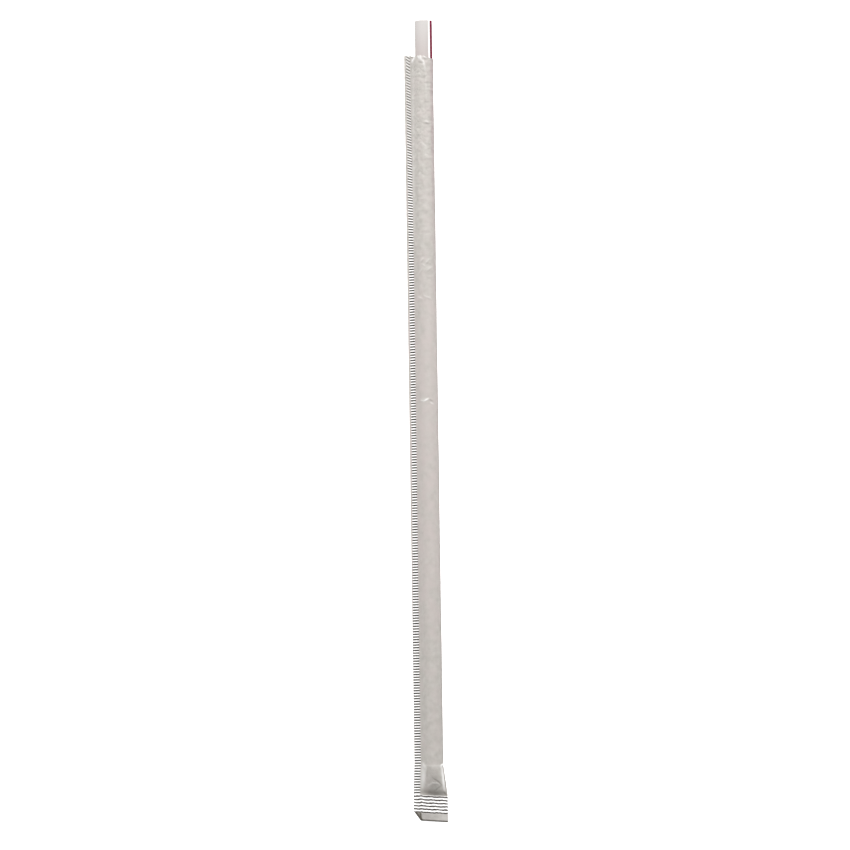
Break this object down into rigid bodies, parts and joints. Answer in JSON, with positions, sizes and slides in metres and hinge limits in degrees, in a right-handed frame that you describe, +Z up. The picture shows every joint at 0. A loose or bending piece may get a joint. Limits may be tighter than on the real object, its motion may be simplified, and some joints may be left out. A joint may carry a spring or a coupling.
{
  "type": "wrapped drinking straw",
  "caption": "Plain drinking straw in a torn-open paper sleeve with a crimped side seam and a crimped flat end.",
  "frame": {"origin": "on the table, under the middle of the whole object", "axes": "+Y along the straw towards its open end, +Z up, the crimped side seam towards -X"},
  "size_m": [0.0118, 0.2798, 0.0063],
  "materials": {
    "straw": "satin",
    "wrapper": "matte"
  },
  "bodies": {
    "wrapper": {"wrapper": "wrapper"},
    "straw": {"straw": "straw"}
  },
  "joints": [
    {"name": "straw_pull", "type": "slide", "parent": "wrapper", "child": "straw", "axis": [0, 1, 0], "range_m": [0, 0.25]}
  ]
}
